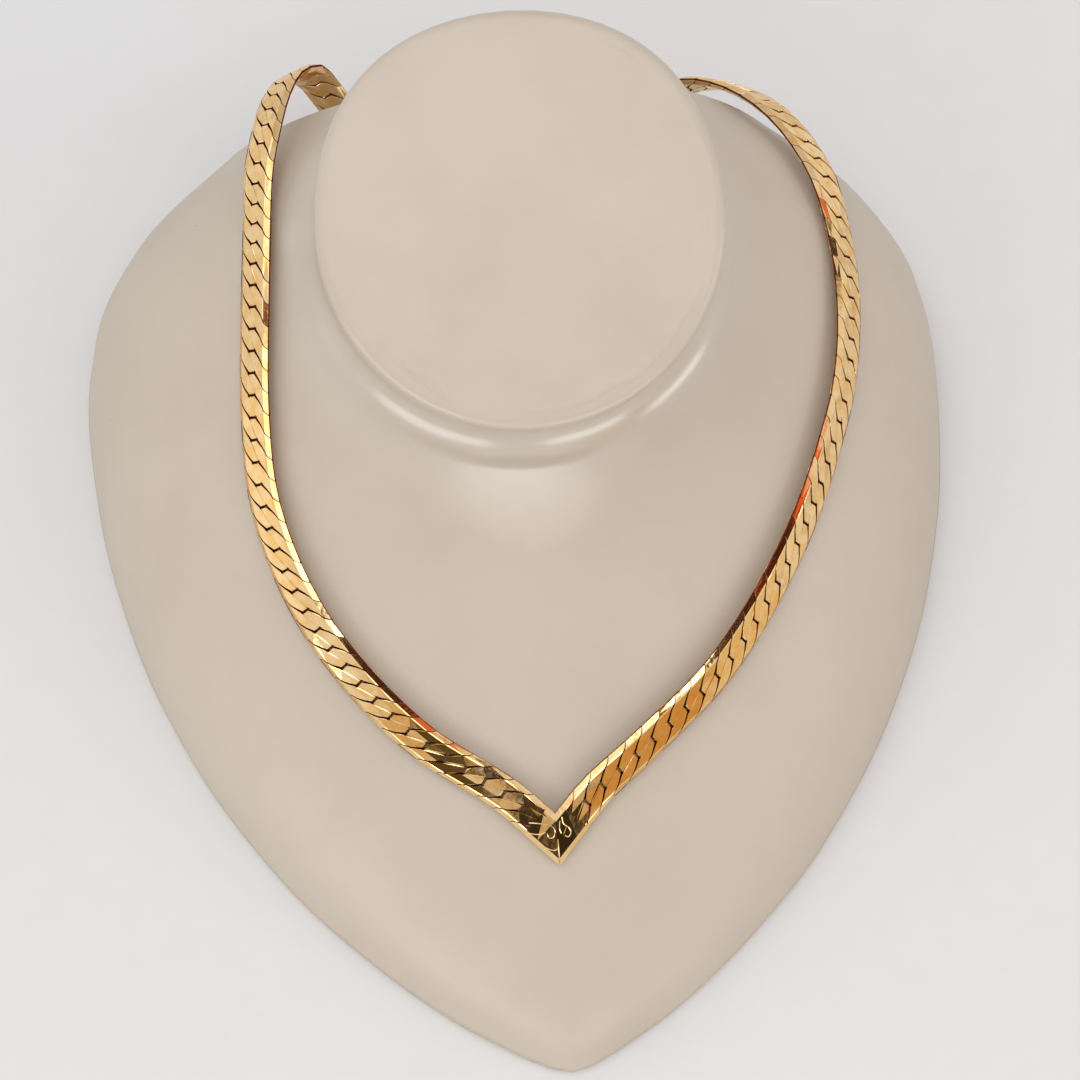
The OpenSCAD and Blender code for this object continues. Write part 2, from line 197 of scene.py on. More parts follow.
points = routePoints()
reach = [0]
for i in range(1, len(points)):
    reach.append(reach[-1] + (points[i][0] - points[i - 1][0]).length)
routeLength = reach[-1]


def routeAt(s):
    s = min(max(s, 0), routeLength)
    low, high = 0, len(reach) - 2
    while low < high:
        middle = (low + high + 1) // 2
        if reach[middle] <= s:
            low = middle
        else:
            high = middle - 1
    t = (s - reach[low]) / (reach[low + 1] - reach[low])
    return tuple(points[low][k].lerp(points[low + 1][k], t) for k in (0, 1))


def frameAt(s):
    place, facing = routeAt(s)
    along = (routeAt(s + 1)[0] - routeAt(s - 1)[0]).normalized()
    normal = (facing - facing.dot(along) * along).normalized()
    return place, along.cross(normal), along, normal


chain = {
    "gap": 0.29, "halfBar": 0.7, "bevelDrop": 0.6, "pitch": 4.06, "centreArm": 8.4, "claspLength": 12,
    "soldered": 2, "bevelAt": 2.34, "edge": 0.1,
}
armStart = chain["centreArm"] - 0.5 * chain["pitch"] + chain["gap"] / 2
claspStart = routeLength / 2 - chain["claspLength"] / 2 + 0.5 * chain["pitch"] - chain["gap"] / 2
armLinks = round((claspStart - armStart) / chain["pitch"])
pitch = (claspStart - armStart) / armLinks
print("route %.1f mm, pitch %.3f mm, %d links an arm" % (routeLength, pitch, armLinks))


def wrap(obj, left):
    # x across, y along the arm from the centre, z off the face, all in millimetres, set on the route
    step = 0.5
    store = {}

    def frameNear(k):
        if k not in store:
            s = k * step
            place, across, along, normal = frameAt(s if left else routeLength - s)
            store[k] = (place, across if left else -across, normal)
        return store[k]

    for vertex in obj.data.vertices:
        x, s, z = vertex.co
        k = math.floor(s / step)
        t = s / step - k
        a, b = frameNear(k), frameNear(k + 1)
        low = a[0] + x * a[1] + z * a[2]
        high = b[0] + x * b[1] + z * b[2]
        vertex.co = low.lerp(high, t) * mm
    obj.data.update()


# one link of the chain, modelled flat in millimetres
link = {
    # the S-shaped edge of a lobe, from the crossbar's end out to the chain's edge: share of the
    # pitch, distance from the middle, how far the edge keeps back from its neighbour's
    "sweep": [
        (0.03, 0.76, 0.25), (0.08, 0.86, 0.22), (0.2, 1.2, 0.19), (0.34, 1.62, 0.16), (0.5, 2, 0.13),
        (0.64, 2.27, 0.11), (0.76, 2.44, 0.09), (0.84, 2.62, 0.08), (0.93, 2.95, 0.07),
        (1, 3.25, 0.07), (1.03, 3.45, 0.07)],
    "corner": 0.14, "round": 0.1, "wallWidth": 0.45, "barDepth": 0.62, "hiddenTop": 0.16,
    # how far the crossbars keep in from the lobes' ends and sides, and the side walls' reach
    # in shares of the pitch
    "barIn": 0.16, "barBack": 0.17, "wallReach": 0.38,
    # how far below the faces' rounding the grooves count as deep; this depth drives the painted shade in the
    # grooves
    "grooveShade": 0.2,
    # each upper face: most tip and crown in degrees, its middle across and in shares of the
    # pitch along, drop at its middle and at most, share of the tip along
    "rock": 2.2, "crown": 1.5, "lobeAcross": 1.6, "lobeAlong": 0.7, "tipBase": 0.06,
    "tipMost": 0.16, "tipAlong": 0.6, "leftSeed": 11, "rightSeed": 23,
}


def lobeOutline():
    # the upper left lobe, anticlockwise from above: across, share of the pitch, setback
    bar, cut = chain["halfBar"], link["corner"]
    seam = [(-bar + cut, -1.5, 0.27), (bar - cut, -1.5, 0.27), (bar, -1.5 + cut / pitch, 0.2),
            (bar * 0.98, -1.42, 0.12), (bar * 0.3, -1.1, 0.08), (-bar * 0.6, -0.62, 0.12),
            (-bar, -0.5, 0.26)]
    up = [(-across, share - 0.5, back) for share, across, back in link["sweep"]]
    down = [(-across, share - 1.5, back) for share, across, back in link["sweep"]]
    return seam + up + down[::-1]


def insetOutline(outline):
    moved = []
    count = len(outline)
    for i in range(count):
        q = Vector(outline[i][:2])
        u = (q - Vector(outline[i - 1][:2])).normalized()
        v = (Vector(outline[(i + 1) % count][:2]) - q).normalized()
        nu, nv = Vector((-u.y, u.x)), Vector((-v.y, v.x))
        moved.append(q + outline[i][2] * (nu + nv) / max(1 + nu.dot(nv), 0.4))
    return moved


def solidFromOutline(outline, low, high, name):
    # a filled flat curve made a mesh, then extruded to its thickness
    curve = bpy.data.curves.new(name, "CURVE")
    curve.dimensions = "2D"
    curve.fill_mode = "BOTH"
    spline = curve.splines.new("POLY")
    spline.points.add(len(outline) - 1)
    for point, place in zip(spline.points, outline):
        point.co = (place[0], place[1], 0, 1)
    spline.use_cyclic_u = True
    curve.extrude = (high - low) / 2
    obj = bpy.data.objects.new(name, curve)
    bpy.context.collection.objects.link(obj)
    makeActive(obj)
    bpy.ops.object.convert(target="MESH")
    obj = bpy.context.view_layer.objects.active
    bpy.ops.object.mode_set(mode="EDIT")
    bpy.ops.mesh.select_all(action="SELECT")
    bpy.ops.mesh.remove_doubles(threshold=0.001)
    bpy.ops.mesh.normals_make_consistent(inside=False)
    bpy.ops.transform.translate(value=(0, 0, (low + high) / 2))
    bpy.ops.mesh.dissolve_limited(angle_limit=0.01)
    bpy.ops.object.mode_set(mode="OBJECT")
    return obj


def roundTop(obj, top, width):
    # the upper outline of a solid is bevelled round
    makeActive(obj)
    bpy.ops.object.mode_set(mode="EDIT")
    bpy.ops.mesh.select_mode(type="EDGE")
    bpy.ops.mesh.select_all(action="DESELECT")
    bpy.ops.object.mode_set(mode="OBJECT")
    heights = [vertex.co.z for vertex in obj.data.vertices]
    walls = set()
    for face in obj.data.polygons:
        if abs(face.normal.z) < 0.5:
            walls.update(face.edge_keys)
    for edge in obj.data.edges:
        edge.select = all(heights[v] > top - 0.001 for v in edge.vertices) and edge.key in walls
    bpy.ops.object.mode_set(mode="EDIT")
    bpy.ops.mesh.bevel(offset=width, segments=2, profile=0.5, affect="EDGES", clamp_overlap=True)
    bpy.ops.object.mode_set(mode="OBJECT")


def block(low, high, name):
    bpy.ops.mesh.primitive_cube_add(size=1, location=[(a + b) / 2 for a, b in zip(low, high)])
    obj = bpy.context.view_layer.objects.active
    obj.scale = [b - a for a, b in zip(low, high)]
    bpy.ops.object.transform_apply(location=True, rotation=True, scale=True)
    obj.name = name
    return obj


def edgeFall(obj, halfThick, drop):
    # the chain's bevelled sides: a narrow polished edge, then the top and bottom come down
    # outside the flat face
    start, end = chain["bevelAt"] - chain["edge"], chain["bevelAt"] + chain["edge"]
    makeActive(obj)
    bpy.ops.object.mode_set(mode="EDIT")
    for at in (-end, -start, start, end):
        bpy.ops.mesh.select_all(action="SELECT")
        bpy.ops.mesh.bisect(plane_co=(at, 0, 0), plane_no=(1, 0, 0))
    bpy.ops.object.mode_set(mode="OBJECT")
    least = chain["gap"] / 2 + 0.02
    slope = drop / (route["halfWidth"] - chain["bevelAt"])
    for vertex in obj.data.vertices:
        over = abs(vertex.co.x) - start
        if over > 0 and abs(vertex.co.z) > halfThick / 2:
            fall = min(drop, slope * (over / 2 if over < 2 * chain["edge"] else over - chain["edge"]))
            vertex.co.z = math.copysign(max(abs(vertex.co.z) - fall, least), vertex.co.z)


def noteDepthAndShade(obj, value=None):
    # how deep a point lies in the grooves, from 0 on the faces to 1 inside; the gold is painted darker with
    # it as painted shade in the grooves, and the lobes' upper faces are picked by it
    if "depth" in obj.data.attributes:
        obj.data.attributes.remove(obj.data.attributes["depth"])
    layer = obj.data.attributes.new("depth", "FLOAT", "POINT")
    shallow = route["halfThick"] - link["round"]
    for i, vertex in enumerate(obj.data.vertices):
        depth = min(1, max(0, (shallow - abs(vertex.co.z)) / link["grooveShade"]))
        layer.data[i].value = depth if value is None else value


def makeLink():
    half, thick, gap = route["halfWidth"], route["halfThick"], chain["gap"] / 2
    outline = insetOutline([(x, share * pitch, back) for x, share, back in lobeOutline()])
    outline = [(max(x, -half), y) for x, y in outline]
    lower = solidFromOutline(outline, gap, thick, "lobe")
    upper = copyOf(lower, "lobe")
    roundTop(upper, thick, link["round"])
    lobes = [upper]
    for source, flipX, flipY, flipZ in ((upper, -1, -1, 1), (lower, 1, -1, -1), (lower, -1, 1, -1)):
        twin = copyOf(source, "lobe")
        for vertex in twin.data.vertices:
            vertex.co = (vertex.co.x * flipX, vertex.co.y * flipY, vertex.co.z * flipZ)
        lobes.append(twin)
    bpy.data.objects.remove(lower)
    top = thick - link["hiddenTop"]
    bar = chain["halfBar"] - link["barIn"]
    inner = half - link["wallWidth"]
    nearEnd, farEnd = 1.5 * pitch - link["barBack"], 1.5 * pitch - link["barDepth"]
    walls = [
        block((-half, -0.5 * pitch + gap, -top), (-inner, link["wallReach"] * pitch, top), "wall"),
        block((inner, -link["wallReach"] * pitch, -top), (half, 0.5 * pitch - gap, top), "wall"),
        block((-bar, -nearEnd, -top), (bar, -farEnd, top), "wall"),
        block((-bar, farEnd, -top), (bar, nearEnd, top), "wall"),
    ]
    model = lobes[0]
    for other in lobes[1:] + walls:
        applyModifier(model, "BOOLEAN", operation="UNION", object=other, solver="EXACT")
        bpy.data.objects.remove(other)
    noteDepthAndShade(model)
    edgeFall(model, thick, chain["bevelDrop"])
    model.name = "link"
    return model


linkModel = makeLink()
print("link:", len(linkModel.data.polygons), "faces")


def rockTops(arm, count, seed):
    # no two lobes of a worn chain face quite the same way: each upper face is tipped a little
    dice = random.Random(seed)
    each = len(arm.data.vertices) // count
    most = math.tan(math.radians(link["rock"]))
    crown = math.tan(math.radians(link["crown"]))
    depths = arm.data.attributes["depth"].data
    for k in range(count):
        tips = [(dice.uniform(-most, most), dice.uniform(-most, most)) for side in (0, 1)]
        own = arm.data.vertices[k * each:(k + 1) * each]
        middle = armMiddle(own)
        for vertex in own:
            if vertex.co.z > 0.2 and depths[vertex.index].value < 0.5:
                side = vertex.co.x > 0
                tipX, tipY = tips[side]
                dx = abs(vertex.co.x) - link["lobeAcross"]
                dy = vertex.co.y - middle + (-1 if side else 1) * link["lobeAlong"] * pitch
                dy = max(-link["lobeAcross"], min(link["lobeAcross"], dy))
                tip = link["tipBase"] + (crown + tipX) * dx + tipY * link["tipAlong"] * dy
                vertex.co.z -= max(0, min(link["tipMost"], tip))


def armMiddle(vertices):
    places = [vertex.co.y for vertex in vertices]
    return (min(places) + max(places)) / 2


def armOfLinks(left, first, last, name):
    arm = copyOf(linkModel, name)
    makeActive(arm)
    bpy.ops.transform.translate(value=(0, armStart + first * pitch, 0))
    bpy.ops.object.transform_apply(location=True, rotation=True, scale=True)
    applyModifier(arm, "ARRAY", count=last - first + 1, use_relative_offset=False,
                  use_constant_offset=True, constant_offset_displace=(0, pitch, 0))
    rockTops(arm, last - first + 1, link["leftSeed" if left else "rightSeed"])
    wrap(arm, left)
    return arm


# the soldered pieces: a bevelled bar with end links
def barStrip(stations, halfWide, halfThick, name, drop, paintedShade=0):
    # a plain plate swept through stations along the arm: length, how much of the full size
    at = chain["bevelAt"]
    edge = halfThick - drop
    section = [(-halfWide, edge), (-at, halfThick), (at, halfThick), (halfWide, edge),
               (halfWide, -edge), (at, -halfThick), (-at, -halfThick), (-halfWide, -edge)]
    bpy.ops.mesh.primitive_plane_add(size=1)
    obj = bpy.context.view_layer.objects.active
    obj.name = name
    shape = bmesh.new()
    rings = []
    for s, share in stations:
        rings.append([shape.verts.new((x * share, s, z * share)) for x, z in section])
    for a, b in zip(rings, rings[1:]):
        for i in range(8):
            shape.faces.new((a[i], a[(i + 1) % 8], b[(i + 1) % 8], b[i]))
    shape.faces.new(rings[0][::-1])
    shape.faces.new(rings[-1])
    bmesh.ops.recalc_face_normals(shape, faces=shape.faces)
    shape.to_mesh(obj.data)
    shape.free()
    # the whole strip gets one painted shade value, 0 for none
    noteDepthAndShade(obj, paintedShade)
    return obj


centre = {
    "clear": 3.8, "coreDrop": 0.14, "firstLink": -3, "plateEnd": 5.2, "plateRise": 0.03,
    "strokeWide": 0.1, "strokeRise": 0.06,
    # the curls, raised strokes here: distance from the mitre, place across, on the left and right arm
    "leftStrokes": [
        [(7, -1.1), (3.1, 0.6), (0.9, 1.35), (0.3, 1), (0.9, -0.1), (2.2, -0.8), (2.4, -0.3)],
        [(7, -2.4), (4.4, -1.4), (2.8, -0.3)],
        [(3.1, -2.4), (1.2, -1.9), (0.1, -1.1)]],
    "rightStrokes": [
        [(1.6, 2.1), (1.8, 1), (3.1, 0), (3.8, -1), (3, -1.3), (2, -0.5)],
        [(1, 1.9), (0.7, 1.1), (1.2, 0.2)],
        [(0.1, 0.1), (0.12, -1.3), (0.1, -2.5)]],
}


def mitreFrame():
    # both arms meet in one upright section: its place, way across and facing, and the slope of the mitre
    towards = frameAt(0)[2], -frameAt(routeLength)[2]
    normal = (routeAt(0)[1] + routeAt(routeLength)[1]).normalized()
    across = towards[0] + towards[1]
    half = math.sqrt((1 - towards[0].dot(towards[1])) / 2)
    across = (across - across.dot(normal) * normal).normalized() / half
    return routeAt(0)[0], across, normal, math.sqrt(1 - half * half) / half


def wrapCentre(obj, left):
    # as wrap, but bent to the mitre near the middle; the inner side of both arms is +x here
    place0, across0, normal0, slope = mitreFrame()
    for vertex in obj.data.vertices:
        x, s, z = vertex.co
        start = x * slope
        at = max(s, centre["clear"])
        place, side, along, up = frameAt(at if left else routeLength - at)
        share = min(1, max(0, (s - start) / (centre["clear"] - start)))
        vertex.co = (place0 + x * across0 + z * normal0).lerp(place + x * side + z * up, share) * mm
    if not left:
        obj.data.flip_normals()
    obj.data.update()


def cutAtMitre(obj, slope):
    makeActive(obj)
    bpy.ops.object.mode_set(mode="EDIT")
    bpy.ops.mesh.select_all(action="SELECT")
    bpy.ops.mesh.bisect(plane_co=(0, 0, 0), plane_no=(-slope, 1, 0), clear_inner=True, use_fill=True)
    bpy.ops.object.mode_set(mode="OBJECT")


def makeStroke(points, slope):
    # a thin raised line on the plate, its corners cut twice to round them
    points = [Vector((x, x * slope + off, 0)) for off, x in points]
    for again in range(2):
        inner = [a.lerp(b, share) for a, b in zip(points, points[1:]) for share in (0.25, 0.75)]
        points = [points[0]] + inner + [points[-1]]
    top = route["halfThick"] + centre["plateRise"]
    shape = bmesh.new()
    rings = []
    for i, point in enumerate(points):
        along = (points[min(i + 1, len(points) - 1)] - points[max(i - 1, 0)]).normalized()
        full = 1 if 0 < i < len(points) - 1 else 0.3
        side = Vector((-along.y, along.x, 0)) * centre["strokeWide"] * full
        up = Vector((0, 0, centre["strokeRise"] * full))
        middle = point + Vector((0, 0, top))
        rings.append([shape.verts.new(middle + way) for way in (-side, up, side, -up)])
    for a, b in zip(rings, rings[1:]):
        for i in range(4):
            shape.faces.new((a[i], a[(i + 1) % 4], b[(i + 1) % 4], b[i]))
    shape.faces.new(rings[0][::-1])
    shape.faces.new(rings[-1])
    bmesh.ops.recalc_face_normals(shape, faces=shape.faces)
    mesh = bpy.data.meshes.new("stroke")
    shape.to_mesh(mesh)
    shape.free()
    obj = bpy.data.objects.new("stroke", mesh)
    bpy.context.collection.objects.link(obj)
    noteDepthAndShade(obj, 0)
    return obj


def makeCentre():
    slope = mitreFrame()[3]
    parts = []
    for left in (True, False):
        tiles = copyOf(linkModel, "tiles")
        if not left:
            # the same links turned end for end
            for vertex in tiles.data.vertices:
                vertex.co.x *= -1
            tiles.data.flip_normals()
        makeActive(tiles)
        bpy.ops.transform.translate(value=(0, armStart + centre["firstLink"] * pitch, 0))
        bpy.ops.object.transform_apply(location=True, rotation=True, scale=True)
        count = chain["soldered"] - centre["firstLink"]
        applyModifier(tiles, "ARRAY", count=count, use_relative_offset=False,
                      use_constant_offset=True, constant_offset_displace=(0, pitch, 0))
        low = -chain["centreArm"]
        # the core, sunk below the lobes and seen only between them, is painted dark all over as painted shade
        core = barStrip([(low, 1), (low / 2, 1), (0, 1), (-low / 2, 1), (-low, 1)], route["halfWidth"] - 0.02,
                        route["halfThick"] - centre["coreDrop"], "core", chain["bevelDrop"], 0.8)
        end = centre["plateEnd"]
        plate = barStrip([(low, 1), (low / 2, 1), (0, 1), (end / 2, 1), (end, 1)], route["halfWidth"] + 0.01,
                         route["halfThick"] + centre["plateRise"], "plate", chain["bevelDrop"])
        for part in (tiles, core, plate):
            cutAtMitre(part, slope)
            wrapCentre(part, left)
            parts.append(part)
        for points in centre["leftStrokes" if left else "rightStrokes"]:
            stroke = makeStroke(points, slope)
            wrapCentre(stroke, left)
            parts.append(stroke)
    return joinAll(parts, "centrePiece")


def makeClasp():
    half = chain["claspLength"] / 2
    bar = barStrip([(-half, 0.94), (-half + 1, 1), (0, 1), (half - 1, 1), (half, 0.94)],
                   route["halfWidth"] + 0.4, route["halfThick"] + 0.3, "bar", chain["bevelDrop"])
    for vertex in bar.data.vertices:
        vertex.co.y += routeLength / 2
    wrap(bar, True)
    ends = chain["soldered"]
    parts = [bar] + [armOfLinks(left, armLinks - ends + 1, armLinks, "ends") for left in (True, False)]
    return joinAll(parts, "claspPiece")


deselectAll()
leftArm = armOfLinks(True, chain["soldered"], armLinks - chain["soldered"], "chainLeft")
rightArm = armOfLinks(False, chain["soldered"], armLinks - chain["soldered"], "chainRight")
centrePiece = makeCentre()
claspPiece = makeClasp()
bpy.data.objects.remove(linkModel)
print("chain made")


# the neck form's cover, in millimetres: the source's shape in finer rings, with a slightly wider
# top at its sides and back and a narrower foot
neckForm = {
    "radius": 38.3, "height": 78, "lean": 20, "fromTip": 133.8, "rearWider": 0.043, "foot": 0.9,
    "shoulderWider": 0.036,
    # how the rings crowd towards the outline, where its rear rounding starts, the base's inner ring
    "crowd": 1.7, "rearFrom": 0.96, "baseInner": 4,
    # the cover's gloss on the top and the wall, how many rings past the fillet it fades over
    "topPull": 0.12, "wallPull": 0.35, "pullFade": 3, "flatRows": 6,
    "rimDepth": 5, "fillet": 6, "filletNarrow": 0.65, "filletSteps": 9, "wallSteps": 5,
    "sideSteps": 90, "rearSteps": 32, "bodySteps": 34, "edgeHeight": 1.5, "rearRound": 3, "baseRound": 0.8,
    # share of the neck's radius, depth below its top face
    "top": [
        (0.06, -0.6), (0.2, -0.57), (0.35, -0.49), (0.5, -0.4), (0.62, -0.29), (0.72, -0.2),
        (0.8, -0.13), (0.84, -0.1), (0.848, -0.09), (0.856, -0.08), (0.864, -0.07), (0.872, -0.06),
        (0.885, -0.05), (0.893, -0.04), (0.901, -0.02), (0.909, 0.02), (0.917, 0.1), (0.925, 0.25),
        (0.933, 0.6), (0.94, 1.3), (0.944, 2.4), (0.945, 5)],
    # where the cover has slipped into a thin fold: from, to, in degrees from the front,
    # share of the radius, height; then half a fold's width and its two waves as shares of the
    # radius, the waves' lengths in degrees, how steeply it runs out at its ends
    "foldWide": 0.012, "foldWaves": ((0.006, 5), (0.004, 2.3)), "foldEnds": 6,
    "folds": [
        (-50, -24, 0.856, 0.17), (-4, 34, 0.858, 0.16), (28, 68, 0.862, 0.17), (100, 116, 0.895, 0.08),
        (-116, -101, 0.895, 0.09), (-84, -70, 0.901, 0.07), (76, 92, 0.893, 0.06), (140, 152, 0.86, 0.07)],
}


def behind(way):
    return max(0, way.y) ** 2


def neckPoint(way, share, depth):
    lean = math.radians(neckForm["lean"])
    out = Vector((0, -math.sin(lean), math.cos(lean)))
    up = Vector((0, math.cos(lean), math.sin(lean)))
    middle = Vector((0, neckForm["fromTip"] - route["middleFromTip"], neckForm["height"]))
    back = behind(way)
    wider = neckForm["rearWider"] * back + neckForm["shoulderWider"] * 4 * back * (1 - back)
    wide = neckForm["radius"] * share * (1 + wider)
    return middle + wide * (Vector((way.x, 0, 0)) + way.y * up) - depth * out


def coverFoot(way):
    # where the neck's wall comes down to the top of the fillet
    lean = math.radians(neckForm["lean"])
    out = Vector((0, -math.sin(lean), math.cos(lean)))
    up = Vector((0, math.cos(lean), math.sin(lean)))
    down = (-out - math.tan(lean) * behind(way) * up).normalized()
    rim = neckPoint(way, neckForm["foot"], neckForm["rimDepth"])
    near, far = 0, 60
    for step in range(14):
        half = (near + far) / 2
        place = rim + half * down
        if place.z - bodyHeightAt(place.x, place.y) > neckForm["fillet"]:
            near = half
        else:
            far = half
    return rim + (near + far) / 2 * down


def foldRise(way, share):
    # the thin fold's height over the rim, wavy and running out at both ends
    angle = math.degrees(math.atan2(way.x, -way.y))
    rise = 0
    for low, high, at, height in neckForm["folds"]:
        t = (angle - low) / (high - low)
        if 0 < t < 1:
            line = at
            for swing, wave in neckForm["foldWaves"]:
                line += swing * math.sin(angle / wave)
            ends = neckForm["foldEnds"]
            near = max(0, 1 - abs(share - line) / neckForm["foldWide"])
            rise += height * min(1, ends * t, ends * (1 - t)) * near
    return rise


def coverColumn(edge):
    middleY = neckForm["fromTip"] - route["middleFromTip"]
    way = Vector((edge[0], edge[1] - middleY)).normalized()
    rows = [neckPoint(way, share, depth - foldRise(way, share)) for share, depth in neckForm["top"]]
    foot = coverFoot(way)
    lip = rows[-1]
    rows += [lip.lerp(foot, k / neckForm["wallSteps"]) for k in range(1, neckForm["wallSteps"])]
    wide = neckForm["fillet"] * (1 - neckForm["filletNarrow"] * behind(way))
    for k in range(neckForm["filletSteps"] + 1):
        turn = math.radians(90 * k / neckForm["filletSteps"])
        x, y = (foot[i] + wide * (1 - math.cos(turn)) * way[i] for i in (0, 1))
        rows.append(Vector((x, y, bodyHeightAt(x, y) + neckForm["fillet"] * (1 - math.sin(turn)))))
    start = rows[-1].copy()
    for k in range(1, neckForm["bodySteps"] + 1):
        share = k / neckForm["bodySteps"]
        share = 1 - (1 - share) ** neckForm["crowd"]
        x, y = (start[i] + share * (edge[i] - start[i]) for i in (0, 1))
        t = max(0, (share - neckForm["rearFrom"]) / (1 - neckForm["rearFrom"]))
        z = bodyHeightAt(x, min(y, route["bodyLength"] - route["middleFromTip"] - 0.01))
        z -= neckForm["rearRound"] * (1 - math.sqrt(max(0, 1 - t * t)))
        rows.append(Vector((x, y, max(z, neckForm["edgeHeight"]))))
    low = neckForm["baseRound"]
    rows.append(Vector((edge[0], edge[1], low)))
    for inward, z in ((0.3 * low, 0.3 * low), (low, 0), (neckForm["baseInner"], 0)):
        rows.append(Vector((edge[0] - inward * way.x, edge[1] - inward * way.y, z)))
    return rows


def makeCover():
    length, front = route["bodyLength"], -route["middleFromTip"]
    steps = neckForm["sideSteps"]
    side = []
    for j in range(steps + 1):
        y = front + length * (1 - math.cos(math.radians(90 * j / steps)))
        share = min(1, (y - front) / length)
        side.append((route["bodyWidth"] / 2 * smoothAt(share, 2), y))
    rearWidth, rearY = side[-1]
    rear = [(rearWidth * math.cos(math.pi * i / neckForm["rearSteps"]), rearY)
            for i in range(1, neckForm["rearSteps"])]
    edges = side + rear + [(-x, y) for x, y in side[:0:-1]]
    bpy.ops.mesh.primitive_plane_add(size=1)
    cover = bpy.context.view_layer.objects.active
    cover.name = cover.data.name = "neckForm"
    shape = bmesh.new()
    columns = [[shape.verts.new(point * mm) for point in coverColumn(edge)] for edge in edges]
    top = shape.verts.new(neckPoint(Vector((0, 0)), 0, neckForm["top"][0][1]) * mm)
    for a, b in zip(columns, columns[1:] + columns[:1]):
        shape.faces.new((top, b[0], a[0]))
        for i in range(len(a) - 1):
            shape.faces.new((a[i], b[i], b[i + 1], a[i + 1]))
    shape.faces.new([column[-1] for column in columns])
    bmesh.ops.recalc_face_normals(shape, faces=shape.faces)
    shape.to_mesh(cover.data)
    shape.free()
    # where the cover is pulled tight over the form, kept for its gloss
    tight = cover.data.attributes.new("tight", "FLOAT", "POINT")
    perColumn = len(columns[0])
    topRows = len(neckForm["top"])
    wallEnd = topRows + neckForm["wallSteps"] - 2
    filletEnd = wallEnd + 1 + neckForm["filletSteps"]
    for j in range(len(columns)):
        for i in range(perColumn):
            pull = 1 - max(0, i - filletEnd) / neckForm["pullFade"]
            if i < topRows - neckForm["flatRows"]:
                pull = neckForm["topPull"]
            elif i < wallEnd:
                pull = neckForm["wallPull"]
            tight.data[j * perColumn + i].value = max(0, pull)
    tight.data[len(columns) * perColumn].value = neckForm["topPull"]
    makeActive(cover)
    bpy.ops.object.shade_smooth_by_angle(angle=math.radians(40))
    return cover


cover = makeCover()
print("cover made")


class Flow:
    # wraps a socket, so that sums on it add Math nodes

    def __init__(self, socket):
        self.socket = socket
        self.tree = socket.id_data

    def sum(self, operation, first, second):
        return addNode(self.tree, "ShaderNodeMath", {"operation": operation}, {0: first, 1: second})

    def __add__(self, other):
        return self.sum("ADD", self, other)

    def __radd__(self, other):
        return self.sum("ADD", other, self)

    def __sub__(self, other):
        return self.sum("SUBTRACT", self, other)

    def __rsub__(self, other):
        return self.sum("SUBTRACT", other, self)

    def __mul__(self, other):
        return self.sum("MULTIPLY", self, other)

    def __rmul__(self, other):
        return self.sum("MULTIPLY", other, self)


def addNode(tree, kind, settings=None, inputs=None, out=0):
    node = tree.nodes.new(kind)
    for name, value in (settings or {}).items():
        setattr(node, name, value)
    for name, value in (inputs or {}).items():
        if isinstance(value, Flow):
            tree.links.new(value.socket, node.inputs[name])
        else:
            node.inputs[name].default_value = value
    return Flow(node.outputs[out])


def mixColours(tree, factor, first, second):
    return addNode(tree, "ShaderNodeMix", {"data_type": "RGBA"}, {0: factor, 6: first, 7: second}, 2)


def fade(value, low, high):
    return addNode(value.tree, "ShaderNodeMapRange", {"interpolation_type": "SMOOTHSTEP"},
                   {"Value": value, "From Min": low, "From Max": high, "To Min": 0, "To Max": 1})


def noise(tree, place, size, detail=2, rough=0.5):
    # size is the width of one patch in metres
    return addNode(tree, "ShaderNodeTexNoise", {}, {
        "Vector": place, "Scale": 0.5 / size, "Detail": detail, "Roughness": rough})


def newMaterial(name, **fixed):
    material = bpy.data.materials.new(name)
    material.use_nodes = True
    shader = material.node_tree.nodes["Principled BSDF"]
    for socket, value in fixed.items():
        shader.inputs[socket.replace("_", " ")].default_value = value
    place = addNode(material.node_tree, "ShaderNodeTexCoord", out="Object")
    return material, material.node_tree, shader, place


def feed(shader, socket, value):
    value.tree.links.new(value.socket, shader.inputs[socket])


# the gold's bright and warm tones vary at random; grooveShade is painted shade, a dark maroon laid into the
# grooves where shade falls
goldLook = {
    "bright": (0.93, 0.66, 0.34, 1), "warm": (0.88, 0.54, 0.21, 1), "grooveShade": (0.13, 0.022, 0.014, 1),
    "roughness": 0.04, "patchRough": 0.06, "grooveRough": 0.4, "patch": 0.0011, "dent": 0.0006,
    "dentDepth": 0.000011, "scratch": 0.00006, "scratchDepth": 0.0000006,
}


